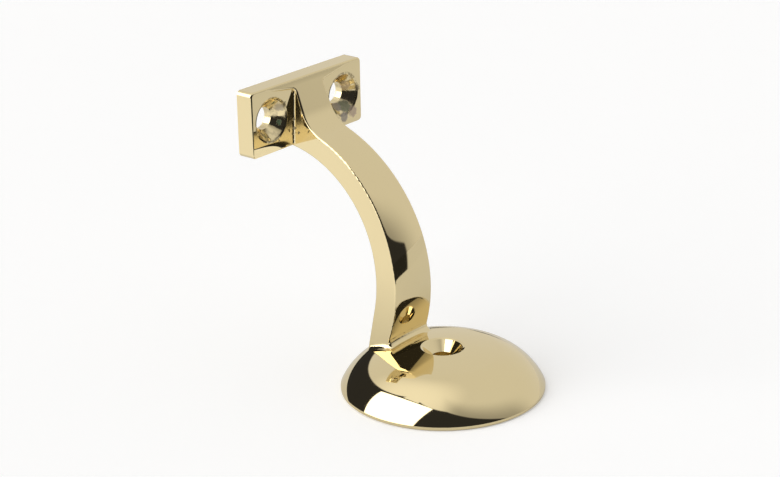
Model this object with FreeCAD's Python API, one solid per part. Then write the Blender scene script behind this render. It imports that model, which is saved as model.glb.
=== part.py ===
"""Handrail bracket, one polished brass casting.

Frame, millimetres: the origin is the centre of the rose's back, +Z is the rose axis pointing away from the wall,
and +Y is the outward normal of the rail plate's seat, which is up when the bracket is in use. The bracket is the
same on both sides of the plane x = 0.
"""
import FreeCAD, Part
import math
import os

Vector = FreeCAD.Vector
X_AXIS = Vector(1, 0, 0)
Y_AXIS = Vector(0, 1, 0)
Z_AXIS = Vector(0, 0, 1)

# Screw holes, all for the same 82 degree countersunk wood screw.
SCREW_HOLE_RADIUS = 2.8
SINK_HALF_ANGLE = math.radians(41)
WALL_SINK_RADIUS = 5.1
RAIL_SINK_RADIUS = 5.35
SINK_MOUTH_BEVEL = 0.3

# The rose: a rim land, a tight shoulder arc and a flatter crown arc that meets it tangentially.
ROSE_RADIUS = 25.0
ROSE_HEIGHT = 10.6
RIM_HEIGHT = 0.9
RIM_BEVEL = 0.25
CROWN_RADIUS = 88.0
SHOULDER_RADIUS = 16.0

# The shallow core in the rose's back, round a boss for the wall screw.
CORE_DEPTH = 3.5
CORE_RIM_WIDTH = 3.5
CORE_BOSS_RADIUS = 8.0
CORE_DRAFT = 0.8

# The rail plate.
PROJECTION = 63.5
SEAT_RISE = 46.4
PLATE_LENGTH = 40.4
PLATE_HEIGHT = 16.6
PLATE_THICKNESS = 5.0
PLATE_CORNER_RADIUS = 1.2
PLATE_EDGE_ROUND = 0.5
PLATE_BACK_BEVEL = 0.4
RAIL_HOLE_SPACING = 26.5

# The arm, in the plane x = 0: two arcs, each with its centre (y, z). The inner one runs into a straight leg at the
# foot, and the outer one into a concave sweep and a ramp up to the plate's top edge.
OUTER_CENTRE = (46.8, 23.1)
OUTER_RADIUS = 38.0
INNER_CENTRE = (46.35, 24.0)
INNER_RADIUS = 31.3
INNER_LEG_TILT = math.radians(9.8)
SWEEP_RADIUS = 10.0
SWEEP_SLOPE = math.radians(68)

# The arm seen along Y: it tapers from the wall to the rail, then fans out to the plate's top corners.
ARM_WIDTH_AT_WALL = 16.0
ARM_WIDTH_AT_RAIL = 10.5
FAN_DROP = 1.9
FAN_CORNER_RADIUS = 1.2
ARM_OUTER_ROUND = 0.5
ARM_INNER_ROUND = 0.4
FOOT_FILLET = 1.6
PLATE_FILLET = 0.6

PLATE_FRONT = SEAT_RISE - PLATE_THICKNESS
PLATE_TOP = PROJECTION + PLATE_HEIGHT / 2
PLATE_BOTTOM = PROJECTION - PLATE_HEIGHT / 2
FAN_TOP = PLATE_TOP - PLATE_EDGE_ROUND
FOOT_HEIGHT = CORE_DEPTH + 0.3
SPARE_HEIGHT = PLATE_TOP + 4


def in_side_plane(y, z):
    """A point of the plane x = 0."""
    return Vector(0, y, z)


def polyline(points):
    """Straight edges through the points."""
    return [Part.makeLine(start, end) for start, end in zip(points, points[1:])]


def face_of(edges):
    """The flat face that a closed run of edges bounds."""
    return Part.Face(Part.Wire(Part.__sortEdges__(edges)))


def arc_through(start, middle, end):
    return Part.Arc(start, middle, end).toShape()


def sink_depth(mouth_radius):
    return (mouth_radius - SCREW_HOLE_RADIUS) / math.tan(SINK_HALF_ANGLE)


def turned(outline):
    """The solid of revolution about Z of a closed outline of straight lines in the plane x = 0."""
    return face_of(polyline(outline + outline[:1])).revolve(Vector(), Z_AXIS, 360)


def screw_hole(mouth_radius, mouth_height):
    """Cutter along Z: the shank hole up from z = 0, then the countersink, which opens at mouth_height."""
    spare = 2.0
    throat = mouth_height - sink_depth(mouth_radius)
    flare = mouth_radius + spare * math.tan(SINK_HALF_ANGLE)
    top = mouth_height + spare
    return turned([in_side_plane(0, -spare), in_side_plane(SCREW_HOLE_RADIUS, -spare),
                   in_side_plane(SCREW_HOLE_RADIUS, throat), in_side_plane(flare, top), in_side_plane(0, top)])


def dome_edges():
    """The crown arc and the shoulder arc of the rose, in the plane y = 0, tangent to each other."""
    crown_centre = Vector(0, 0, ROSE_HEIGHT - CROWN_RADIUS)
    rim = Vector(ROSE_RADIUS, 0, RIM_HEIGHT)
    to_rim = rim - crown_centre
    centre_gap = CROWN_RADIUS - SHOULDER_RADIUS
    cosine = (centre_gap ** 2 + to_rim.Length ** 2 - SHOULDER_RADIUS ** 2) / (2 * centre_gap * to_rim.Length)
    tilt = math.atan2(to_rim.x, to_rim.z) - math.acos(cosine)

    def crown_point(angle):
        return crown_centre + Vector(math.sin(angle), 0, math.cos(angle)) * CROWN_RADIUS

    joint = crown_point(tilt)
    shoulder_centre = crown_centre + (joint - crown_centre) * (centre_gap / CROWN_RADIUS)
    shoulder_middle = (joint + rim) * 0.5 - shoulder_centre
    shoulder_middle = shoulder_centre + shoulder_middle.normalize() * SHOULDER_RADIUS
    crown = arc_through(crown_point(0), crown_point(tilt / 2), joint)
    return [crown, arc_through(joint, shoulder_middle, rim)]


def back_core():
    """The shallow ring-shaped core in the rose's back, between the rim and the screw boss."""
    outer = ROSE_RADIUS - CORE_RIM_WIDTH
    return turned([in_side_plane(CORE_BOSS_RADIUS, 0), in_side_plane(outer, 0),
                   in_side_plane(outer - CORE_DRAFT, CORE_DEPTH),
                   in_side_plane(CORE_BOSS_RADIUS + CORE_DRAFT, CORE_DEPTH)])


def round_edges(shape, radius, picked):
    """Fillet every edge of the solid that the test picks."""
    return shape.makeFillet(radius, [edge for edge in shape.Edges if picked(edge)]).Solids[0]


def bevel_edges(shape, width, picked):
    """Chamfer every edge of the solid that the test picks."""
    return shape.makeChamfer(width, [edge for edge in shape.Edges if picked(edge)]).Solids[0]


def on_circle(edge, centre, radius):
    """Whether an edge is a circle of this radius about the centre, or an arc of it."""
    if edge.Degenerated:
        return False
    middle = edge.valueAt((edge.FirstParameter + edge.LastParameter) / 2)
    points = [vertex.Point for vertex in edge.Vertexes] + [middle]
    return all(abs(point.distanceToPoint(centre) - radius) < 0.001 for point in points)


def rose():
    """The domed rose with its rim land, cored back and countersunk wall-screw hole."""
    outline = dome_edges() + polyline([Vector(ROSE_RADIUS, 0, RIM_HEIGHT), Vector(ROSE_RADIUS, 0, 0), Vector(),
                                       Vector(0, 0, ROSE_HEIGHT)])
    dome = face_of(outline).revolve(Vector(), Z_AXIS, 360)
    dome = bevel_edges(dome, RIM_BEVEL, lambda edge: on_circle(edge, Vector(), ROSE_RADIUS))
    mouth_sag = CROWN_RADIUS - math.sqrt(CROWN_RADIUS ** 2 - WALL_SINK_RADIUS ** 2)
    mouth = Vector(0, 0, ROSE_HEIGHT - mouth_sag)
    dome = dome.cut([screw_hole(WALL_SINK_RADIUS, mouth.z), back_core()]).Solids[0]
    return bevel_edges(dome, SINK_MOUTH_BEVEL, lambda edge: on_circle(edge, mouth, WALL_SINK_RADIUS))


def rail_plate():
    """The rail plate with its rounded corners and edges and its two countersunk holes."""
    block = Part.makeBox(PLATE_LENGTH, PLATE_THICKNESS, PLATE_HEIGHT,
                         Vector(-PLATE_LENGTH / 2, PLATE_FRONT, PLATE_BOTTOM))
    block = round_edges(block, PLATE_CORNER_RADIUS, lambda edge: edge.BoundBox.YLength > PLATE_THICKNESS / 2)
    block = round_edges(block, PLATE_EDGE_ROUND, lambda edge: edge.BoundBox.YMax < PLATE_FRONT + 0.01)
    block = bevel_edges(block, PLATE_BACK_BEVEL, lambda edge: edge.BoundBox.YMin > SEAT_RISE - 0.01)
    hole = screw_hole(RAIL_SINK_RADIUS, PLATE_THICKNESS)
    hole.rotate(Vector(), X_AXIS, 90)
    for side in (-1, 1):
        seat = Vector(side * RAIL_HOLE_SPACING / 2, SEAT_RISE, PROJECTION)
        mouth = seat - Y_AXIS * PLATE_THICKNESS
        block = block.cut(hole.translated(seat)).Solids[0]
        block = bevel_edges(block, SINK_MOUTH_BEVEL, lambda edge: on_circle(edge, mouth, RAIL_SINK_RADIUS))
    return block


def circle_point(centre, radius, angle):
    """A point of the plane x = 0 on a circle, its angle measured from +Y towards +Z."""
    return in_side_plane(centre[0] + radius * math.cos(angle), centre[1] + radius * math.sin(angle))


def circle_arc(centre, radius, start, end):
    points = [circle_point(centre, radius, angle) for angle in (start, (start + end) / 2, end)]
    return arc_through(*points)


def sweep_and_ramp(ramp_end):
    """The concave sweep off the arm's outer arc and the straight ramp that runs on to a height of ramp_end.

    The ramp passes through the plate's front just under its top edge. The sweep touches it and the outer arc.
    """
    ramp = in_side_plane(math.cos(SWEEP_SLOPE), math.sin(SWEEP_SLOPE))
    off_ramp = in_side_plane(-ramp.z, ramp.y)
    arm_centre = in_side_plane(*OUTER_CENTRE)
    ramp_foot = in_side_plane(PLATE_FRONT, FAN_TOP)
    start = ramp_foot + off_ramp * SWEEP_RADIUS
    to_start = start - arm_centre
    along = to_start.dot(ramp)
    reach = (OUTER_RADIUS + SWEEP_RADIUS) ** 2 - to_start.dot(to_start)
    centre = start - ramp * (along - math.sqrt(along ** 2 + reach))
    leave_arm = arm_centre + (centre - arm_centre) * (OUTER_RADIUS / (OUTER_RADIUS + SWEEP_RADIUS))
    meet_ramp = centre - off_ramp * SWEEP_RADIUS
    middle = (leave_arm + meet_ramp) * 0.5 - centre
    middle = centre + middle.normalize() * SWEEP_RADIUS
    ramp_top = meet_ramp + ramp * ((ramp_end - meet_ramp.z) / ramp.z)
    return [arc_through(leave_arm, middle, meet_ramp), Part.makeLine(meet_ramp, ramp_top)]


def arm_side_outline():
    """The arm seen along X: two arcs, the sweep and ramp on top, a flat foot in the rose and a back in the plate."""
    sweep, ramp = sweep_and_ramp(SPARE_HEIGHT)
    leave = sweep.Vertexes[0].Point
    leave_angle = math.atan2(leave.z - OUTER_CENTRE[1], leave.y - OUTER_CENTRE[0])
    foot_angle = math.pi + math.asin((OUTER_CENTRE[1] - FOOT_HEIGHT) / OUTER_RADIUS)
    outer = circle_arc(OUTER_CENTRE, OUTER_RADIUS, foot_angle, leave_angle)
    back = SEAT_RISE - 1.0
    back_angle = math.acos((back - INNER_CENTRE[0]) / INNER_RADIUS)
    inner = circle_arc(INNER_CENTRE, INNER_RADIUS, back_angle, math.pi + INNER_LEG_TILT)
    leg_top = inner.Vertexes[1].Point
    leg_foot = leg_top + in_side_plane(math.tan(INNER_LEG_TILT), -1) * (leg_top.z - FOOT_HEIGHT)
    top = [ramp.Vertexes[1].Point, in_side_plane(back, SPARE_HEIGHT), inner.Vertexes[0].Point]
    bottom = [leg_top, leg_foot, outer.Vertexes[0].Point]
    return [outer, sweep, ramp, inner] + polyline(top) + polyline(bottom)


def arm_half_width(z):
    slope = (ARM_WIDTH_AT_RAIL - ARM_WIDTH_AT_WALL) / PROJECTION
    return (ARM_WIDTH_AT_WALL + slope * z) / 2


def arm_front_outline():
    """The arm seen along Y: the taper, then the fan out to the plate's top corners and past them."""
    fan_foot = FAN_TOP - FAN_DROP
    fan_reach = PLATE_LENGTH / 2 - PLATE_CORNER_RADIUS
    corner = Vector(arm_half_width(fan_foot), 0, fan_foot)
    along_fan = Vector(fan_reach, 0, FAN_TOP) - corner
    right = [Vector(arm_half_width(0), 0, 0), corner, corner + along_fan * 2,
             Vector((corner + along_fan * 2).x, 0, SPARE_HEIGHT)]
    left = [Vector(-point.x, 0, point.z) for point in reversed(right)]
    return polyline(right + left + right[:1])


def runs_along(edge, path):
    """Whether an edge off the middle plane lies over a path in that plane, seen along X."""
    middle = edge.valueAt((edge.FirstParameter + edge.LastParameter) / 2)
    points = [vertex.Point for vertex in edge.Vertexes] + [middle]
    flat = [Part.Vertex(in_side_plane(point.y, point.z)) for point in points]
    return abs(middle.x) > 1 and all(point.distToShape(path)[0] < 0.001 for point in flat)


def arm():
    """The arm, where its side view and its front view meet, with its long edges rounded."""
    outline = arm_side_outline()
    side = face_of(outline).extrude(X_AXIS * PLATE_LENGTH * 2)
    side.translate(X_AXIS * -PLATE_LENGTH)
    front = face_of(arm_front_outline()).extrude(Y_AXIS * SEAT_RISE)
    fan_foot = FAN_TOP - FAN_DROP
    front = round_edges(front, FAN_CORNER_RADIUS,
                        lambda edge: edge.BoundBox.YLength > 1 and abs(edge.BoundBox.ZMin - fan_foot) < 0.01)
    blank = side.common(front).Solids[0]
    outer_run, inner_run = Part.Wire(outline[:3]), Part.Wire([outline[3], outline[6]])
    blank = round_edges(blank, ARM_OUTER_ROUND, lambda edge: runs_along(edge, outer_run))
    blank = round_edges(blank, ARM_INNER_ROUND, lambda edge: runs_along(edge, inner_run))
    above = Part.makeBox(4 * PLATE_LENGTH, SEAT_RISE, SPARE_HEIGHT, Vector(-2 * PLATE_LENGTH, 0, FAN_TOP))
    return blank.cut(above).Solids[0]


def blend(solid, seam, radius):
    """Fillet the edges of the solid that lie on the seam between two of its sub-parts."""
    def on_seam(edge):
        if edge.Degenerated:
            return False
        middle = edge.valueAt((edge.FirstParameter + edge.LastParameter) / 2)
        return Part.Vertex(middle).distToShape(seam)[0] < 0.001
    return round_edges(solid, radius, on_seam)


def neck_fillet_section(z):
    """The fillet beside the arm at one height, in plan: a concave corner that reaches a little into arm and plate."""
    wall = arm_half_width(z)
    root = 0.3
    reach = wall + PLATE_FILLET
    start = PLATE_FRONT - PLATE_FILLET
    bow = PLATE_FILLET * (1 - math.sqrt(0.5))
    arc = arc_through(Vector(wall, start, z), Vector(wall + bow, PLATE_FRONT - bow, z), Vector(reach, PLATE_FRONT, z))
    back = PLATE_FRONT + root
    corner = [Vector(reach, PLATE_FRONT, z), Vector(reach, back, z), Vector(wall - root, back, z),
              Vector(wall - root, start, z), Vector(wall, start, z)]
    return Part.Wire(Part.__sortEdges__([arc] + polyline(corner)))


def neck_fillets():
    """The fillets between the arm's two sides and the plate's front, from the plate's bottom up into the fan."""
    ends = [neck_fillet_section(PLATE_BOTTOM + PLATE_EDGE_ROUND), neck_fillet_section(FAN_TOP - FAN_DROP)]
    right = Part.makeLoft(ends, True, True)
    return [right, right.mirror(Vector(), X_AXIS)]


def bracket_casting():
    """The whole bracket in one piece, with fillets where the arm leaves the rose and meets the plate."""
    foot, neck = rose(), arm()
    casting = foot.fuse([neck, rail_plate()] + neck_fillets()).Solids[0]
    return blend(casting, neck.section(foot), FOOT_FILLET)


def main():
    os.makedirs("parts", exist_ok=True)
    casting = bracket_casting()
    print("valid", casting.isValid(), "volume", round(casting.Volume), "mm3")
    casting.exportStep("parts/bracket_casting.step")


if __name__ == "__main__":
    main()
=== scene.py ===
"""Handrail bracket: the polished brass finish of the casting, in a plain studio."""
import logging
import math
from dataclasses import dataclass, field
from enum import Enum
from typing import Any

import bmesh
import bpy
from mathutils import Matrix, Vector


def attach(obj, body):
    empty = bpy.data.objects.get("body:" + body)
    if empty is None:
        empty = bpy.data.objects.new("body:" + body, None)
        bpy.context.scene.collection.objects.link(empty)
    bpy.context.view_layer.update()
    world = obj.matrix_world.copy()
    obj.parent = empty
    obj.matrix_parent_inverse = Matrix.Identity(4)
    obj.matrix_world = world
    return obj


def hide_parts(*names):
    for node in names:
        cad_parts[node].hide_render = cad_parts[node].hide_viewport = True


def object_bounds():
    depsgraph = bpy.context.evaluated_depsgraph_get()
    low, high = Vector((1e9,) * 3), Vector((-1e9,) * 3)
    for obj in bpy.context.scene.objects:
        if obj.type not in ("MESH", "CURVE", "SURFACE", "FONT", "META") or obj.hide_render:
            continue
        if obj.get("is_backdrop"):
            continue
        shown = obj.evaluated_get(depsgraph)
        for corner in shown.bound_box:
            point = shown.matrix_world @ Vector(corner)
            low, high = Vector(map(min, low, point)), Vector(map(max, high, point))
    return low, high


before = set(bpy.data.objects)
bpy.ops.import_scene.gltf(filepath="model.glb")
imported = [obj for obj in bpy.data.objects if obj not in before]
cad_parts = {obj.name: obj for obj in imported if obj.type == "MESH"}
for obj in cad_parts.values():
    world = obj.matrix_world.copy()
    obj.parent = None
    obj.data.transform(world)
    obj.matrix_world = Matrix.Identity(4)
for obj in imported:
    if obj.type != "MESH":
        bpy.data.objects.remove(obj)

logging.basicConfig(level=logging.INFO, format="%(message)s")
LOG = logging.getLogger("handrail_bracket")

Colour = tuple[float, float, float]
Point = tuple[float, float, float]
CASTING = "bracket_casting"


def opaque(colour: Colour) -> tuple[float, float, float, float]:
    """The colour with a full alpha."""
    return (*colour, 1.0)


class Level:
    """A shader socket that takes Python arithmetic and adds a Math node for each step."""

    def __init__(self, nodes: "Nodes", socket: bpy.types.NodeSocket) -> None:
        """Wrap a socket.

        Args:
            nodes: The node tree's builder.
            socket: The output socket that holds the value.
        """
        self.nodes = nodes
        self.socket = socket

    def _math(self, operation: str, *operands: Any) -> "Level":
        """The result of one Math node.

        Args:
            operation: The node's operation.
            operands: Levels or numbers, in the node's own order.

        Returns:
            The node's value.
        """
        node = self.nodes.add("ShaderNodeMath", {"operation": operation}, dict(enumerate(operands)))
        return Level(self.nodes, node.outputs[0])

    def __add__(self, other: Any) -> "Level":
        """self + other."""
        return self._math("ADD", self, other)

    def __sub__(self, other: Any) -> "Level":
        """self - other."""
        return self._math("SUBTRACT", self, other)

    def __rsub__(self, other: Any) -> "Level":
        """other - self."""
        return self._math("SUBTRACT", other, self)

    def __mul__(self, other: Any) -> "Level":
        """self * other."""
        return self._math("MULTIPLY", self, other)

    def __truediv__(self, other: Any) -> "Level":
        """self / other."""
        return self._math("DIVIDE", self, other)

    __radd__ = __add__
    __rmul__ = __mul__

    def power(self, exponent: float) -> "Level":
        """self raised to a power."""
        return self._math("POWER", self, exponent)

    def smaller(self, other: Any) -> "Level":
        """The smaller of two levels."""
        return self._math("MINIMUM", self, other)

    def larger(self, other: Any) -> "Level":
        """The larger of two levels."""
        return self._math("MAXIMUM", self, other)

    def absolute(self) -> "Level":
        """self without its sign."""
        return self._math("ABSOLUTE", self)

    def above(self, threshold: float) -> "Level":
        """1 where self is above a threshold, and 0 elsewhere."""
        return self._math("GREATER_THAN", self, threshold)

    def angle_over(self, other: Any) -> "Level":
        """The angle, in degrees, whose tangent is self over other."""
        return self._math("DEGREES", self._math("ARCTAN2", self, other))

    def arcsine(self) -> "Level":
        """The angle, in degrees, whose sine is self."""
        return self._math("DEGREES", self._math("ARCSINE", self))

    def clamped(self) -> "Level":
        """self held between 0 and 1."""
        return self.larger(0.0).smaller(1.0)

    def ramp(self, low: float, high: float) -> "Level":
        """A smooth step from 0 at low to 1 at high; low may be the larger, for a step down.

        Args:
            low: Where the step is still 0.
            high: Where the step has reached 1.

        Returns:
            The step.
        """
        node = self.nodes.add("ShaderNodeMapRange", {"interpolation_type": "SMOOTHSTEP"}, {
            "Value": self, "From Min": low, "From Max": high})
        return Level(self.nodes, node.outputs["Result"])


@dataclass(frozen=True)
class Texture:
    """A noise of the surface.

    It has so many features per metre, and a scale along each axis where it is drawn out into streaks.
    """

    per_metre: float
    octaves: float
    harshness: float = 0.5
    drawn_out: Point | None = None


class Nodes:
    """Builds the nodes of one material or world."""

    def __init__(self, tree: bpy.types.NodeTree) -> None:
        """Start from an empty tree.

        Args:
            tree: The tree to build in.
        """
        self.tree = tree
        tree.nodes.clear()

    def add(self, kind: str, settings: dict[str, Any], inputs: dict[Any, Any]) -> bpy.types.Node:
        """Add one node, its settings first.

        Args:
            kind: The node's type.
            settings: Attributes such as an operation.
            inputs: Values, sockets or levels, by the socket's name or number.

        Returns:
            The node.
        """
        node = self.tree.nodes.new(kind)
        for name, value in settings.items():
            setattr(node, name, value)
        for key, value in inputs.items():
            socket = node.inputs[key]
            if isinstance(value, Level):
                value = value.socket
            if isinstance(value, bpy.types.NodeSocket):
                self.tree.links.new(value, socket)
            else:
                socket.default_value = value
        return node

    def level(self, socket: bpy.types.NodeSocket) -> Level:
        """A socket as a level."""
        return Level(self, socket)

    def mix(self, share: Any, first: Any, second: Any) -> bpy.types.NodeSocket:
        """Mix two colours.

        Args:
            share: How much of the second shows.
            first: A colour or a colour socket.
            second: A colour or a colour socket.

        Returns:
            The mixed colour.
        """
        first, second = (opaque(c) if isinstance(c, tuple) else c for c in (first, second))
        node = self.add("ShaderNodeMix", {"data_type": "RGBA"}, {0: share, 6: first, 7: second})
        return node.outputs[2]

    def noise(self, where: Any, texture: "Texture") -> Level:
        """Noise from about 0 to 1.

        Args:
            where: The coordinates.
            texture: How fine it is, and how it is drawn out.

        Returns:
            The noise.
        """
        if texture.drawn_out:
            mapping = self.add("ShaderNodeMapping", {}, {"Vector": where, "Scale": texture.drawn_out})
            where = mapping.outputs[0]
        inputs = {"Vector": where, "Scale": texture.per_metre, "Detail": texture.octaves,
                  "Roughness": texture.harshness}
        return self.level(self.add("ShaderNodeTexNoise", {}, inputs).outputs["Fac"])

    def distance(self, where: Any, place: Point) -> Level:
        """How far the coordinates are from a place, in metres."""
        node = self.add("ShaderNodeVectorMath", {"operation": "DISTANCE"}, {0: where, 1: place})
        return self.level(node.outputs["Value"])

    def apart(self, where: Any) -> tuple[Level, Level, Level]:
        """The three parts of a vector socket."""
        node = self.add("ShaderNodeSeparateXYZ", {}, {"Vector": where})
        return tuple(self.level(socket) for socket in node.outputs)

    def dot(self, first: Any, direction: Point) -> Level:
        """The scalar product of a vector socket and a fixed direction."""
        node = self.add("ShaderNodeVectorMath", {"operation": "DOT_PRODUCT"}, {0: first, 1: direction})
        return self.level(node.outputs["Value"])


class Treatment(Enum):
    """How a part of the casting was left by the workshop."""

    POLISHED = "polished"
    AS_CAST = "as cast"
    LINISHED = "linished"


@dataclass(frozen=True)
class Surfacing:
    """The gloss and colour that a treatment leaves."""

    roughness: float
    spread: float
    colour: Colour

    def gloss(self, level: Level) -> Level:
        """The roughness, varied by a level from 0 to 1."""
        return level.clamped() * self.spread + self.roughness


SURFACINGS: dict[Treatment, Surfacing] = {
    Treatment.POLISHED: Surfacing(0.035, 0.05, (0.85, 0.715, 0.42)),
    Treatment.AS_CAST: Surfacing(0.44, 0.16, (0.60, 0.47, 0.26)),
    Treatment.LINISHED: Surfacing(0.20, 0.12, (0.80, 0.66, 0.39)),
}

CLOUDS = Texture(90.0, 3.0)
SMEARS = Texture(420.0, 4.0, 0.6, (1.0, 1.0, 0.25))
SCRATCHES = Texture(5200.0, 2.0, 0.7, (0.12, 1.0, 1.0))
GRAIN = Texture(1900.0, 3.0, 0.6)
SINK_GRIME = Texture(700.0, 3.0, 0.6)
LIP_GRIME = Texture(1100.0, 3.0, 0.6)
SINK_CHATTER = Texture(520.0, 2.0)
FRAYED_EDGES = Texture(1400.0, 4.0, 0.65)

CLOUDED_BRASS: Colour = (0.83, 0.68, 0.40)
GRIMY_BRASS: Colour = (0.45, 0.38, 0.26)
CAKED_LIP: Colour = (0.16, 0.12, 0.06)
GREEN_SKIN: Colour = (0.12, 0.24, 0.14)
OLIVE_SKIN: Colour = (0.23, 0.25, 0.17)
GREY_SKIN: Colour = (0.46, 0.41, 0.35)
PINK_SKIN: Colour = (0.58, 0.44, 0.36)
DARK_SPECK: Colour = (0.10, 0.08, 0.05)
MICRON = 1e-6


@dataclass(frozen=True)
class SkinPatch:
    """A spot of casting skin or caked polish that the buff didn't reach, roughly round."""

    centre: Point
    radius: float
    tone: Colour
    cover: float = 1.0


@dataclass(frozen=True)
class RailPlate:
    """Where the rail plate's faces, screw holes and countersinks are."""

    front: float = 0.0414
    seat: float = 0.0464
    hole_side: float = 0.01325
    hole_height: float = 0.0635
    sink_radius: float = 0.00535

    def sinks_and_lips(self, x: Level, y: Level, z: Level) -> tuple[Level, Level]:
        """Where the two countersinks are, and the lips round their mouths.

        Args:
            x: Across the bracket, in metres.
            y: Outward from the middle of the rose, in metres.
            z: Away from the wall, in metres.

        Returns:
            The countersinks and the lips, 1 on each and 0 off it.
        """
        side = x.absolute() - self.hole_side
        rise = z - self.hole_height
        out = (side * side + rise * rise).power(0.5)
        inside = out.ramp(self.sink_radius, self.sink_radius - 0.0003)
        below_mouth = y.ramp(self.front + 0.0001, self.front + 0.0003)
        rounded = out.ramp(self.sink_radius - 0.0005, self.sink_radius - 0.0001)
        rounded = rounded * out.ramp(self.sink_radius + 0.0006, self.sink_radius + 0.0002)
        at_front = y.ramp(self.front - 0.0004, self.front - 0.0002)
        at_front = at_front * y.ramp(self.front + 0.0010, self.front + 0.0006)
        return inside * below_mouth, rounded * at_front


@dataclass(frozen=True)
class BuffedArm:
    """How the buff has left the arm's outer face: crowned across, and turned a little at the foot.

    It is in the shading alone, and the mesh stays flat across. Each pair holds the heights between which a
    lean fades in, and a lean is how far the normal moves sideways for a length of 1.
    """

    half_width_at_wall: float = 0.0081
    narrowing: float = 0.0433
    above_dome: tuple[float, float] = (0.0115, 0.0135)
    shaft_top: tuple[float, float] = (0.058, 0.047)
    foot_top: tuple[float, float] = (0.0235, 0.0205)
    shaft_crown: float = 0.18
    left_edge: float = 0.16
    foot_crown: float = 0.10
    foot_turn: float = 0.30

    def normal(self, nodes: Nodes, x: Level, z: Level) -> bpy.types.NodeSocket:
        """The casting's normal, leaning sideways on the arm's outer face.

        Args:
            nodes: The material's builder.
            x: Across the bracket, in metres.
            z: Away from the wall, in metres.

        Returns:
            The normal.
        """
        normal = nodes.add("ShaderNodeNewGeometry", {}, {}).outputs["Normal"]
        facing = nodes.dot(normal, (0.0, -1.0, 0.0)).ramp(0.25, 0.5)
        sideways = nodes.dot(normal, (1.0, 0.0, 0.0))
        flat_across = (sideways * sideways).ramp(0.08, 0.0)
        across = x / (self.half_width_at_wall - z * self.narrowing)
        square = across * across
        left_half = across.ramp(0.0, -0.2)
        edge = square * square * square * left_half * self.left_edge
        shaft = z.ramp(*self.shaft_top) * (across * self.shaft_crown - edge)
        foot = z.ramp(*self.foot_top) * (across * self.foot_crown - self.foot_turn)
        lean = (shaft + foot) * facing * flat_across * z.ramp(*self.above_dome)
        sidestep = nodes.add("ShaderNodeCombineXYZ", {}, {0: lean}).outputs[0]
        leaning = nodes.add("ShaderNodeVectorMath", {"operation": "ADD"}, {0: normal, 1: sidestep}).outputs[0]
        return nodes.add("ShaderNodeVectorMath", {"operation": "NORMALIZE"}, {0: leaning}).outputs[0]


class Surface:
    """The place on the casting that is being shaded, and the noises that the finish is made of."""

    def __init__(self, nodes: Nodes) -> None:
        """Read the coordinates and make the noises.

        Args:
            nodes: The material's builder.
        """
        self.nodes = nodes
        self.where = nodes.add("ShaderNodeTexCoord", {}, {}).outputs["Object"]
        self.x, self.y, self.z = nodes.apart(self.where)
        self.clouds = nodes.noise(self.where, CLOUDS)
        self.smears = nodes.noise(self.where, SMEARS)
        self.scratches = nodes.noise(self.where, SCRATCHES)
        self.grain = nodes.noise(self.where, GRAIN)


@dataclass(frozen=True)
class Relief:
    """How high each texture stands, in microns."""

    clouds: float = 7.0
    smears: float = 1.3
    scratches: float = 0.04
    ground_scratches: float = 1.2
    sink_chatter: float = 45.0
    core: float = 45.0
    skin: float = 40.0


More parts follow.
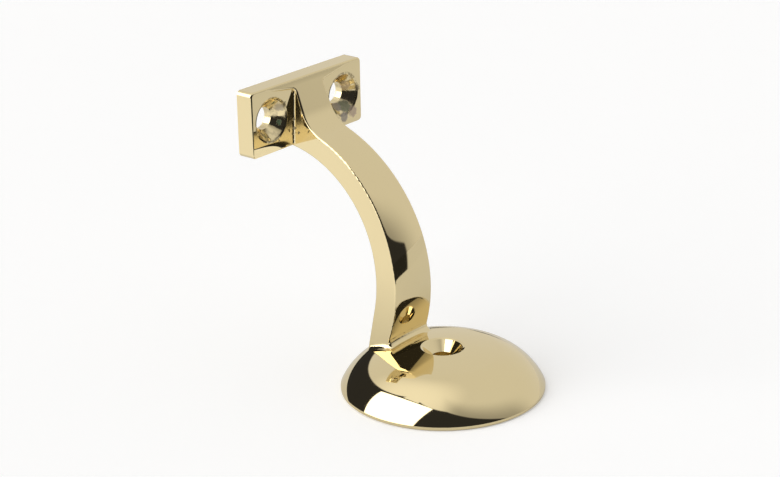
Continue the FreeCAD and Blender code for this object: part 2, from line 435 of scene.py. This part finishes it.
@dataclass(frozen=True)
class PolishedBrass:
    """Mirror-polished yellow brass with casting skin left where the buff can't reach."""

    slot: str = "polished_brass"
    core_radius: float = 0.0217
    core_height: float = 0.0037
    core_hole: float = 0.0030
    blur: float = 0.0001
    skin_fraying: float = 0.0016
    skin_solid: float = 0.72
    skin_metal_lost: float = 0.65
    skin_roughness: float = 0.42
    skin_spread: float = 0.25
    relief: Relief = Relief()
    plate: RailPlate = RailPlate()
    arm: BuffedArm = BuffedArm()
    patches: tuple[SkinPatch, ...] = (
        # In the left countersink and on its lip.
        SkinPatch((-0.0094, 0.0427, 0.0619), 0.0008, GREEN_SKIN),
        SkinPatch((-0.0094, 0.0424, 0.0658), 0.0014, GREY_SKIN, 0.55),
        SkinPatch((-0.0150, 0.0431, 0.0601), 0.0008, DARK_SPECK, 0.55),
        # In the corner between the plate and the arm.
        SkinPatch((-0.0086, 0.0416, 0.0666), 0.0006, DARK_SPECK, 0.60),
        SkinPatch((-0.0057, 0.0411, 0.0620), 0.0004, DARK_SPECK, 0.70),
        SkinPatch((-0.0056, 0.0411, 0.0597), 0.0004, DARK_SPECK, 0.60),
        SkinPatch((-0.0060, 0.0413, 0.0582), 0.0003, DARK_SPECK, 0.80),
        SkinPatch((-0.0108, 0.0414, 0.0577), 0.0003, DARK_SPECK, 0.80),
        SkinPatch((-0.0055, 0.0398, 0.0586), 0.0003, DARK_SPECK, 0.80),
        # In the right countersink, and over its lower lip onto the plate.
        SkinPatch((0.0150, 0.0430, 0.0596), 0.0020, OLIVE_SKIN),
        SkinPatch((0.0128, 0.0436, 0.0600), 0.0017, GREY_SKIN),
        SkinPatch((0.0135, 0.0414, 0.0576), 0.0015, GREY_SKIN),
        SkinPatch((0.0168, 0.0414, 0.0582), 0.0016, PINK_SKIN, 0.75),
        SkinPatch((0.0165, 0.0437, 0.0650), 0.0016, PINK_SKIN, 0.50),
        SkinPatch((0.0125, 0.0447, 0.0660), 0.0014, PINK_SKIN, 0.60),
        SkinPatch((0.0188, 0.0414, 0.0640), 0.0008, DARK_SPECK, 0.50),
    )

    def dress(self, piece: bpy.types.Object) -> bpy.types.Material:
        """Give a piece this finish.

        Args:
            piece: The piece, its mesh in place.

        Returns:
            The material.
        """
        material = bpy.data.materials.new("polished_brass_worn")
        material.use_nodes = True
        nodes = Nodes(material.node_tree)
        surface = Surface(nodes)
        core, ground = self._core(surface), self._ground(surface)
        sinks, lips = self.plate.sinks_and_lips(surface.x, surface.y, surface.z)
        tone, gloss = self._worked(surface, core, ground)
        tone, gloss = self._grimed(surface, sinks, lips, tone, gloss)
        tone, skin = self._skinned(surface, tone)
        gloss = gloss * (1.0 - skin) + (surface.grain * self.skin_spread + self.skin_roughness) * skin
        bump = nodes.add("ShaderNodeBump", {}, {
            "Height": self._height(surface, core, ground, sinks, skin), "Distance": 1.0, "Strength": 1.0,
            "Normal": self.arm.normal(nodes, surface.x, surface.z)})
        shader = nodes.add("ShaderNodeBsdfPrincipled", {}, {
            "Base Color": tone, "Metallic": 1.0 - skin * self.skin_metal_lost,
            "Roughness": gloss, "Normal": bump.outputs[0]})
        nodes.add("ShaderNodeOutputMaterial", {}, {"Surface": shader.outputs[0]})
        piece.data.materials.clear()
        piece.data.materials.append(material)
        return material

    def _core(self, surface: Surface) -> Level:
        """Where the rose's back is left as cast: in the core, but not in the screw hole."""
        reach = (surface.x * surface.x + surface.y * surface.y).power(0.5)
        low = surface.z.ramp(self.core_height + self.blur, self.core_height)
        outside_hole = reach.ramp(self.core_hole - self.blur, self.core_hole + self.blur)
        return low * reach.ramp(self.core_radius + self.blur, self.core_radius) * outside_hole

    def _ground(self, surface: Surface) -> Level:
        """Where the two seats are ground flat: against the wall and under the rail."""
        at_wall = surface.z.ramp(self.blur, self.blur / 2)
        return at_wall.larger(surface.y.ramp(self.plate.seat - 2 * self.blur, self.plate.seat - self.blur))

    @staticmethod
    def _worked(surface: Surface, core: Level, ground: Level) -> tuple[bpy.types.NodeSocket, Level]:
        """The colour and roughness that the workshop left.

        Args:
            surface: The place and its noises.
            core: Where the metal is as cast.
            ground: Where it is linished.

        Returns:
            The colour and the roughness.
        """
        polished, cast, linished = (SURFACINGS[kind] for kind in (
            Treatment.POLISHED, Treatment.AS_CAST, Treatment.LINISHED))
        nodes = surface.nodes
        tone = nodes.mix((surface.clouds - 0.35).clamped() * 0.5, polished.colour, CLOUDED_BRASS)
        tone = nodes.mix(ground, tone, linished.colour)
        tone = nodes.mix(core, tone, cast.colour)
        gloss = polished.gloss(surface.smears * 0.7 + surface.scratches * 0.3 - 0.3)
        gloss = gloss * (1.0 - ground) + linished.gloss(surface.scratches) * ground
        gloss = gloss * (1.0 - core) + cast.gloss(surface.grain) * core
        return tone, gloss

    @staticmethod
    def _grimed(surface: Surface, sinks: Level, lips: Level, tone: Any,
                gloss: Level) -> tuple[bpy.types.NodeSocket, Level]:
        """Polishing grime in the countersinks and caked round their lips.

        Args:
            surface: The place and its noises.
            sinks: Where the countersinks are.
            lips: Where their lips are.
            tone: The colour under the grime.
            gloss: The roughness under it.

        Returns:
            The colour and the roughness with the grime on.
        """
        nodes = surface.nodes
        grime = sinks * (nodes.noise(surface.where, SINK_GRIME) - 0.46).ramp(0.0, 0.16)
        caked = lips * nodes.noise(surface.where, LIP_GRIME).ramp(0.40, 0.58)
        tone = nodes.mix(grime * 0.30, tone, GRIMY_BRASS)
        tone = nodes.mix(caked * 0.70, tone, CAKED_LIP)
        return tone, gloss + sinks * 0.05 + grime * 0.16 + caked * 0.18

    def _height(self, surface: Surface, core: Level, ground: Level, sinks: Level, skin: Level) -> Level:
        """The fine relief of the surface.

        Args:
            surface: The place and its noises.
            core: Where the metal is as cast.
            ground: Where it is linished.
            sinks: Where the rail plate's countersinks are.
            skin: Where skin is left.

        Returns:
            The height, in metres.
        """
        relief = self.relief
        waves = surface.clouds * relief.clouds + surface.smears * relief.smears
        waves = waves + surface.scratches * (ground * relief.ground_scratches + relief.scratches)
        chatter = surface.nodes.noise(surface.where, SINK_CHATTER) * sinks * relief.sink_chatter
        rough = surface.grain * (core * relief.core + skin * relief.skin)
        return (waves + chatter + rough) * MICRON

    def _skinned(self, surface: Surface, tone: Any) -> tuple[bpy.types.NodeSocket, Level]:
        """The patches of skin, with frayed and mottled edges.

        Args:
            surface: The place and its noises.
            tone: The colour under the skin.

        Returns:
            The colour with the patches on, and where they are.
        """
        nodes = surface.nodes
        frayed = (nodes.noise(surface.where, FRAYED_EDGES) - 0.5) * self.skin_fraying
        mottle = (surface.grain * 0.6 + 0.55).clamped()
        skin = None
        for patch in self.patches:
            away = nodes.distance(surface.where, patch.centre) + frayed
            covered = away.ramp(patch.radius, patch.radius * self.skin_solid) * mottle * patch.cover
            tone = nodes.mix(covered, tone, patch.tone)
            skin = covered if skin is None else skin.larger(covered)
        return tone, skin


FACET_LEAN = math.radians(20)
NEAR_AXIS = 1e-5


class TrueForm:
    """An exact surface of the casting that its facets stand for."""

    def normal_at(self, place: Vector) -> Vector | None:
        """The outward normal where the place lies on the surface, or None off it."""
        raise NotImplementedError


@dataclass(frozen=True)
class Cone(TrueForm):
    """A countersink: its axis leaves the casting at the mouth, and it narrows inwards."""

    mouth: Vector
    axis: Vector
    radius: float
    slope: float = math.radians(41)
    within: float = 5e-5

    def normal_at(self, place: Vector) -> Vector | None:
        """The normal, which leans in towards the axis."""
        offset = place - self.mouth
        depth = offset.dot(self.axis)
        outward = offset - self.axis * depth
        expected = self.radius + depth * math.tan(self.slope)
        if abs(outward.length - expected) > self.within or depth > NEAR_AXIS or outward.length < NEAR_AXIS:
            return None
        return self.axis * math.sin(self.slope) - outward.normalized() * math.cos(self.slope)


@dataclass(frozen=True)
class Bore(TrueForm):
    """A straight hole."""

    centre: Vector
    axis: Vector
    radius: float
    within: float = 4e-5

    def normal_at(self, place: Vector) -> Vector | None:
        """The normal, which points at the axis."""
        offset = place - self.centre
        outward = offset - self.axis * offset.dot(self.axis)
        return -outward.normalized() if abs(outward.length - self.radius) < self.within else None


@dataclass(frozen=True)
class Ring(TrueForm):
    """A surface turned about Z from an arc; with no offset it is a ball."""

    offset: float
    height: float
    radius: float
    within: float = 4e-5

    def normal_at(self, place: Vector) -> Vector | None:
        """The normal, away from the arc's centre."""
        around = Vector((place.x, place.y, 0.0))
        outward = around.normalized() if around.length > NEAR_AXIS else Vector((1.0, 0.0, 0.0))
        spoke = outward * (around.length - self.offset) + Vector((0.0, 0.0, place.z - self.height))
        return spoke.normalized() if abs(spoke.length - self.radius) < self.within else None


@dataclass(frozen=True)
class Drum(TrueForm):
    """A round face of the arm, about an axis along X."""

    centre_y: float
    centre_z: float
    radius: float
    sign: float
    within: float = 4e-5

    def normal_at(self, place: Vector) -> Vector | None:
        """The normal, away from the axis or towards it."""
        spoke = Vector((0.0, place.y - self.centre_y, place.z - self.centre_z))
        return spoke.normalized() * self.sign if abs(spoke.length - self.radius) < self.within else None


@dataclass
class Casting:
    """The bracket itself: the solid's own shape, with its surfaces smoothed for a mirror finish."""

    finish: PolishedBrass
    piece_name: str = "polished_casting"
    merge_distance: float = 1e-6
    flat_within: float = math.radians(0.15)
    crease: float = math.radians(24)
    rose_height: float = 0.0106
    rose_radius: float = 0.025
    rim_height: float = 0.0009
    crown_radius: float = 0.088
    shoulder_radius: float = 0.016
    wall_sink: float = 0.0051
    hole_radius: float = 0.0028
    plate: RailPlate = RailPlate()
    arm_outside: Drum = Drum(0.0468, 0.0231, 0.038, 1.0)
    arm_inside: Drum = Drum(0.04635, 0.0240, 0.0313, -1.0)

    def build(self) -> bpy.types.Object:
        """Make the smooth copy of the solid and dress it.

        Returns:
            The piece, which stands for the solid.
        """
        mesh = self._smooth_copy(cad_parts[CASTING])
        piece = bpy.data.objects.new(self.piece_name, mesh)
        bpy.context.scene.collection.objects.link(piece)
        self._true_normals(piece)
        self.finish.dress(piece)
        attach(piece, "root")
        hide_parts(CASTING)
        LOG.info("%s: %d faces, from %s", piece.name, len(piece.data.polygons), CASTING)
        return piece

    def _smooth_copy(self, node: bpy.types.Object) -> bpy.types.Mesh:
        """Merge the node's loose triangles and shade them smooth up to the crease angle.

        Args:
            node: The solid's node.

        Returns:
            The merged mesh.
        """
        shell = bmesh.new()
        shell.from_mesh(node.data)
        bmesh.ops.remove_doubles(shell, verts=shell.verts, dist=self.merge_distance)
        bmesh.ops.dissolve_limit(shell, angle_limit=self.flat_within, verts=shell.verts, edges=shell.edges)
        for face in shell.faces:
            face.smooth = True
            face.material_index = 0
        for edge in shell.edges:
            edge.smooth = len(edge.link_faces) == 2 and edge.calc_face_angle() < self.crease
        mesh = bpy.data.meshes.new(self.piece_name)
        shell.to_mesh(mesh)
        shell.free()
        return mesh

    def _forms(self) -> list[TrueForm]:
        """The casting's exact round surfaces."""
        up, front = Vector((0.0, 0.0, 1.0)), Vector((0.0, -1.0, 0.0))
        crown_centre = self.rose_height - self.crown_radius
        across, rise = self.rose_radius, self.rim_height - crown_centre
        reach, gap = math.hypot(across, rise), self.crown_radius - self.shoulder_radius
        cosine = (gap ** 2 + reach ** 2 - self.shoulder_radius ** 2) / (2 * gap * reach)
        tilt = math.atan2(across, rise) - math.acos(cosine)
        shoulder = Ring(gap * math.sin(tilt), crown_centre + gap * math.cos(tilt), self.shoulder_radius)
        mouth = crown_centre + math.sqrt(self.crown_radius ** 2 - self.wall_sink ** 2)
        forms: list[TrueForm] = [
            Cone(Vector((0.0, 0.0, mouth)), up, self.wall_sink), Bore(Vector(), up, self.hole_radius),
            Ring(0.0, crown_centre, self.crown_radius), shoulder, self.arm_outside, self.arm_inside]
        for side in (-1, 1):
            centre = Vector((side * self.plate.hole_side, self.plate.front, self.plate.hole_height))
            forms += [Cone(centre, front, self.plate.sink_radius), Bore(centre, front, self.hole_radius)]
        return forms

    def _true_normals(self, piece: bpy.types.Object) -> None:
        """Give the facets the normals of the exact surfaces, and let the flats stay flat.

        Args:
            piece: The piece, its mesh merged.
        """
        weighted = piece.modifiers.new("flats_stay_flat", "WEIGHTED_NORMAL")
        weighted.keep_sharp = True
        weighted.mode = "FACE_AREA_WITH_ANGLE"
        shaped = bpy.data.meshes.new_from_object(piece.evaluated_get(bpy.context.evaluated_depsgraph_get()))
        piece.modifiers.clear()
        piece.data = shaped
        normals = [Vector(corner.vector) for corner in shaped.corner_normals]
        forms = self._forms()
        exact: dict[int, list[Vector]] = {}
        loose: list[bpy.types.MeshPolygon] = []
        for face in shaped.polygons:
            corners = [shaped.vertices[index].co for index in face.vertices]
            form = next((form for form in forms if self._lies_on(form, corners, face.normal)), None)
            if form is None:
                loose.append(face)
                continue
            for loop, index, corner in zip(face.loop_indices, face.vertices, corners):
                normals[loop] = form.normal_at(corner)
                exact.setdefault(index, []).append(normals[loop])
        for face in loose:
            for loop, index in zip(face.loop_indices, face.vertices):
                for normal in exact.get(index, []):
                    turned, leaning = normal.angle(normals[loop]), face.normal.angle(normal)
                    if turned < self.crease / 2 and leaning < self.crease:
                        normals[loop] = normal
        shaped.normals_split_custom_set(normals)

    @staticmethod
    def _lies_on(form: TrueForm, corners: list[Vector], facing: Vector) -> bool:
        """Whether a facet lies on an exact surface and faces as it does.

        Args:
            form: The surface.
            corners: The facet's corners.
            facing: The facet's own normal.

        Returns:
            Whether it does.
        """
        found = [form.normal_at(corner) for corner in corners]
        return all(normal is not None and normal.angle(facing) < FACET_LEAN for normal in found)


def heading(azimuth: float, elevation: float) -> Vector:
    """The unit vector towards a place in the studio.

    Args:
        azimuth: Degrees round from the front, the -Y side, towards +X.
        elevation: Degrees above the horizon.

    Returns:
        The vector.
    """
    turn, rise = math.radians(azimuth), math.radians(elevation)
    return Vector((math.sin(turn) * math.cos(rise), -math.cos(turn) * math.cos(rise), math.sin(rise)))


@dataclass(frozen=True)
class SoftBox:
    """A bright straight-edged panel, by the headings of its corners in turn."""

    corners: tuple[tuple[float, float], ...] = ((-157, 43), (-69, 57), (-92, 0), (-143, 0))
    strength: float = 2.6
    softness: float = 0.012

    def mask(self, nodes: Nodes, direction: Any) -> Level:
        """Where the panel shows.

        Args:
            nodes: The world's builder.
            direction: The direction looked in.

        Returns:
            1 on the panel and 0 off it.
        """
        rays = [heading(*corner) for corner in self.corners]
        shown = None
        for first, second in zip(rays, rays[1:] + rays[:1]):
            inward = second.cross(first).normalized()
            edge = nodes.dot(direction, tuple(inward)).ramp(-self.softness, self.softness)
            shown = edge if shown is None else shown * edge
        return shown


@dataclass(frozen=True)
class Slope:
    """The straight upper edge of a dark part of the room: its elevation at one azimuth, and its fall."""

    elevation: float
    azimuth: float
    fall: float

    def over(self, azimuth: Level) -> Level:
        """The edge's elevation over another azimuth, in degrees."""
        return self.elevation - (azimuth - self.azimuth) * self.fall


@dataclass(frozen=True)
class Room:
    """What the brass mirrors above the floor.

    There is a pale ceiling, a soft box with a seam above it, and an unlit front and left. Headings are
    azimuths and elevations in degrees, and each pair of azimuths is where an edge begins and ends.
    """

    sky: float = 0.72
    unlit: Colour = (0.028, 0.028, 0.031)
    backdrop: Colour = (0.98, 0.98, 0.98)
    soft_box: SoftBox = field(default_factory=SoftBox)
    glow_heading: tuple[float, float] = (-122, 63)
    glow_reach: float = 46
    glow_strength: float = 0.30
    front_high: Slope = Slope(58.0, -70.0, 0.2)
    front_low: Slope = Slope(52.5, -45.0, 0.54)
    front_left: tuple[float, float] = (-100.0, -99.0)
    front_right: tuple[float, float] = (45.0, 42.5)
    shade_left: tuple[float, float] = (-62.0, -25.0)
    shade_right: tuple[float, float] = (64.0, 30.0)
    shade_height: tuple[float, float] = (36.0, -4.0)
    shade_depth: float = 0.38
    left_top: Slope = Slope(47.0, -157.0, -0.55)
    left_right: tuple[float, float] = (-130.0, -131.0)
    seam_heading: tuple[float, float] = (-102, 61)
    seam_right: tuple[float, float] = (-56.0, -64.0)
    seam_left: tuple[float, float] = (-172.0, -160.0)
    seam_upper: tuple[float, float] = (0.024, 0.014)
    seam_lower: tuple[float, float] = (-0.014, -0.004)

    def colour(self, nodes: Nodes) -> bpy.types.NodeSocket:
        """The light from every side, and white where the camera itself looks past the floor.

        Args:
            nodes: The world's builder.

        Returns:
            The world's colour.
        """
        direction = nodes.add("ShaderNodeTexCoord", {}, {}).outputs["Generated"]
        x, y, z = nodes.apart(direction)
        azimuth, elevation = x.angle_over(0.0 - y), z.arcsine()
        round_left = azimuth - azimuth.above(0.0) * 360.0
        above_front = elevation - self.front_high.over(azimuth).smaller(self.front_low.over(azimuth))
        front = above_front.ramp(1.0, -1.0) * azimuth.ramp(*self.front_left) * azimuth.ramp(*self.front_right)
        above_left = elevation - self.left_top.over(round_left)
        left = above_left.ramp(1.0, -1.0) * round_left.ramp(*self.left_right)
        seam = self._seam(nodes, direction, azimuth, round_left)
        ceiling = self.sky + self._glow(nodes, direction) - self._shade(above_front, azimuth)
        room = nodes.mix(front.larger(left).larger(seam), self._grey(nodes, ceiling), self.unlit)
        lit = nodes.mix(self.soft_box.mask(nodes, direction), room, (self.soft_box.strength,) * 3)
        looked_at = nodes.add("ShaderNodeLightPath", {}, {}).outputs["Is Camera Ray"]
        return nodes.mix(looked_at, lit, self.backdrop)

    def _glow(self, nodes: Nodes, direction: Any) -> Level:
        """The brighter part of the ceiling, over the soft box."""
        nearness = nodes.dot(direction, tuple(heading(*self.glow_heading)))
        return nearness.ramp(math.cos(math.radians(self.glow_reach)), 1.0) * self.glow_strength

    def _shade(self, above_front: Level, azimuth: Level) -> Level:
        """How the ceiling darkens down towards the unlit front."""
        sides = azimuth.ramp(*self.shade_left) * azimuth.ramp(*self.shade_right)
        return above_front.ramp(*self.shade_height) * sides * self.shade_depth

    def _seam(self, nodes: Nodes, direction: Any, azimuth: Level, round_left: Level) -> Level:
        """The straight dark seam above the soft box.

        Args:
            nodes: The world's builder.
            direction: The direction looked in.
            azimuth: Its azimuth, from -180 to 180 degrees.
            round_left: Its azimuth, from -360 to 0 degrees.

        Returns:
            1 on the seam and 0 off it.
        """
        turn, rise = self.seam_heading
        over = nodes.dot(direction, tuple(heading(turn, rise - 90.0)))
        line = over.ramp(*self.seam_upper) * over.ramp(*self.seam_lower)
        return line * azimuth.ramp(*self.seam_right) * round_left.ramp(*self.seam_left)

    @staticmethod
    def _grey(nodes: Nodes, level: Level) -> bpy.types.NodeSocket:
        """A very slightly warm grey of this brightness."""
        parts = {0: level * 1.01, 1: level, 2: level * 0.985}
        return nodes.add("ShaderNodeCombineColor", {}, parts).outputs[0]


@dataclass(frozen=True)
class PaperFloor:
    """White paper under the rose. Reflections see it with painted shade on the right, where the soft box's
    light falls off, and dark past its front edge.
    """

    colour: Colour = (0.82, 0.82, 0.82)
    lift: float = 0.255
    radius: float = 2.5
    rim_points: int = 96
    gap_under_rose: float = 0.0001
    front_edge: float = -0.118
    edge_blur: float = 0.002
    table_dark: float = 0.97
    wall_pale: float = 0.95
    wall_azimuth: tuple[float, float] = (42.5, 45.0)
    # Painted shade: reflections see the paper darker on the right, where the soft box's light falls off.
    painted_shade_across: tuple[float, float] = (-0.09, -0.01)
    painted_shade_depth: float = 0.30

    def build(self) -> bpy.types.Object:
        """Lay the floor just under the casting.

        Returns:
            The floor.
        """
        shell = bmesh.new()
        bmesh.ops.create_circle(shell, cap_ends=True, segments=self.rim_points, radius=self.radius)
        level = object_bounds()[0].z - self.gap_under_rose
        bmesh.ops.translate(shell, verts=shell.verts, vec=(0.0, 0.0, level))
        mesh = bpy.data.meshes.new("floor")
        shell.to_mesh(mesh)
        shell.free()
        floor = bpy.data.objects.new("floor", mesh)
        bpy.context.scene.collection.objects.link(floor)
        mesh.materials.append(self._paper())
        floor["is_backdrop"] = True
        return floor

    def _paper(self) -> bpy.types.Material:
        """The paper's material, which is clear from below so that the rose's back can be looked at.

        Returns:
            The material.
        """
        material = bpy.data.materials.new("floor_paper")
        material.use_nodes = True
        nodes = Nodes(material.node_tree)
        path = nodes.add("ShaderNodeLightPath", {}, {})
        seen, mirrored, through = (nodes.level(path.outputs[name]) for name in
                                   ("Is Camera Ray", "Is Glossy Ray", "Is Transmission Ray"))
        shown = self._shown(nodes, mirrored)
        diffuse = nodes.add("ShaderNodeBsdfDiffuse", {}, {
            "Color": nodes.mix(shown, (0.0, 0.0, 0.0), self.colour)})
        lift = nodes.add("ShaderNodeEmission", {}, {
            "Color": opaque((1.0, 1.0, 1.0)),
            "Strength": (seen + mirrored + through).clamped() * shown * self.lift})
        paper = nodes.add("ShaderNodeAddShader", {}, {0: diffuse.outputs[0], 1: lift.outputs[0]})
        below = nodes.add("ShaderNodeNewGeometry", {}, {}).outputs["Backfacing"]
        clear = nodes.add("ShaderNodeBsdfTransparent", {}, {})
        sides = nodes.add("ShaderNodeMixShader", {}, {0: below, 1: paper.outputs[0], 2: clear.outputs[0]})
        nodes.add("ShaderNodeOutputMaterial", {}, {"Surface": sides.outputs[0]})
        return material

    def _shown(self, nodes: Nodes, mirrored: Level) -> Level:
        """How brightly the floor shows: in full to the eye, and less in reflections, with painted shade on
        the right.

        Args:
            nodes: The material's builder.
            mirrored: 1 for a reflection's rays.

        Returns:
            The share of the paper's brightness.
        """
        x, y, _ = nodes.apart(nodes.add("ShaderNodeTexCoord", {}, {}).outputs["Object"])
        table = y.ramp(self.front_edge + self.edge_blur, self.front_edge - self.edge_blur)
        wall = x.angle_over(0.0 - y).ramp(*self.wall_azimuth)
        # Painted shade: for reflections the paper's colour darkens towards +X, standing in for the soft box's
        # light falling off across the floor.
        painted_shade = x.ramp(*self.painted_shade_across) * self.painted_shade_depth
        dark = table * (self.table_dark - wall * self.wall_pale)
        return (1.0 - mirrored * dark) * (1.0 - mirrored * painted_shade)


@dataclass(frozen=True)
class StudioCamera:
    """The camera, aimed a little down at the bracket from the front left."""

    focal_length: float = 91.98
    sensor_width: float = 36.0
    clip: tuple[float, float] = (0.01, 20.0)
    distance: float = 0.4914
    azimuth: float = -50.27
    elevation: float = 21.0
    roll: float = 1.019
    look_at: Point = (0.00478, 0.0200, 0.03244)

    def build(self) -> bpy.types.Object:
        """Set the camera up.

        Returns:
            The camera.
        """
        back = heading(self.azimuth, self.elevation)
        lens = bpy.data.cameras.new("camera")
        lens.lens = self.focal_length
        lens.sensor_width = self.sensor_width
        lens.clip_start, lens.clip_end = self.clip
        camera = bpy.data.objects.new("camera", lens)
        bpy.context.scene.collection.objects.link(camera)
        place = Matrix.Translation(Vector(self.look_at) + back * self.distance)
        turn = (-back).to_track_quat("-Z", "Y").to_matrix().to_4x4()
        camera.matrix_world = place @ turn @ Matrix.Rotation(math.radians(-self.roll), 4, "Z")
        bpy.context.scene.camera = camera
        return camera


@dataclass
class Studio:
    """The floor, the room round the object and the camera."""

    floor: PaperFloor = field(default_factory=PaperFloor)
    room: Room = field(default_factory=Room)
    camera: StudioCamera = field(default_factory=StudioCamera)

    def build(self) -> None:
        """Make the floor, the light and the camera."""
        bpy.context.scene.view_settings.view_transform = "Standard"
        floor = self.floor.build()
        world = bpy.data.worlds.new("studio_light")
        bpy.context.scene.world = world
        world.use_nodes = True
        nodes = Nodes(world.node_tree)
        light = nodes.add("ShaderNodeBackground", {}, {"Color": self.room.colour(nodes), "Strength": 1.0})
        nodes.add("ShaderNodeOutputWorld", {}, {"Surface": light.outputs[0]})
        camera = self.camera.build()
        LOG.info("studio: %s, %s and %s", floor.name, world.name, camera.name)


def main() -> None:
    """Build the casting and the studio, in order."""
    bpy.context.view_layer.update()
    Casting(PolishedBrass()).build()
    Studio().build()


if __name__ == "__main__":
    main()
